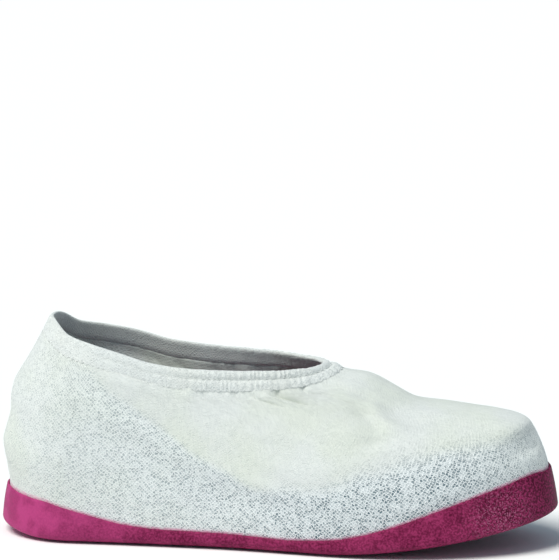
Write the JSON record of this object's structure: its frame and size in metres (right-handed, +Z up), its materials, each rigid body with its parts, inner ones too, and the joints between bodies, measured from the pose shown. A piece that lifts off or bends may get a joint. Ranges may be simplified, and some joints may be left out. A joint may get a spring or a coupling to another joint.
{
  "type": "overshoe",
  "caption": "Reusable overshoe: a knitted white upper with an elasticated hem round its foot opening, bonded into a moulded red rubber sole with a lozenge tread.",
  "frame": {"origin": "centre of the footprint's length and width, on the ground plane that the tread pads stand on", "axes": "+X from the heel to the toe, +Y to the side across the foot, +Z up from the ground"},
  "size_m": [0.32, 0.116, 0.1256],
  "materials": {
    "rubber": "matte moulded rubber, raspberry red",
    "knit": "fine white knit",
    "hem_knit": "gathered white knit over elastic"
  },
  "bodies": {
    "root": {"sole": "rubber", "upper": "knit", "elastic_hem": "hem_knit"}
  },
  "joints": []
}
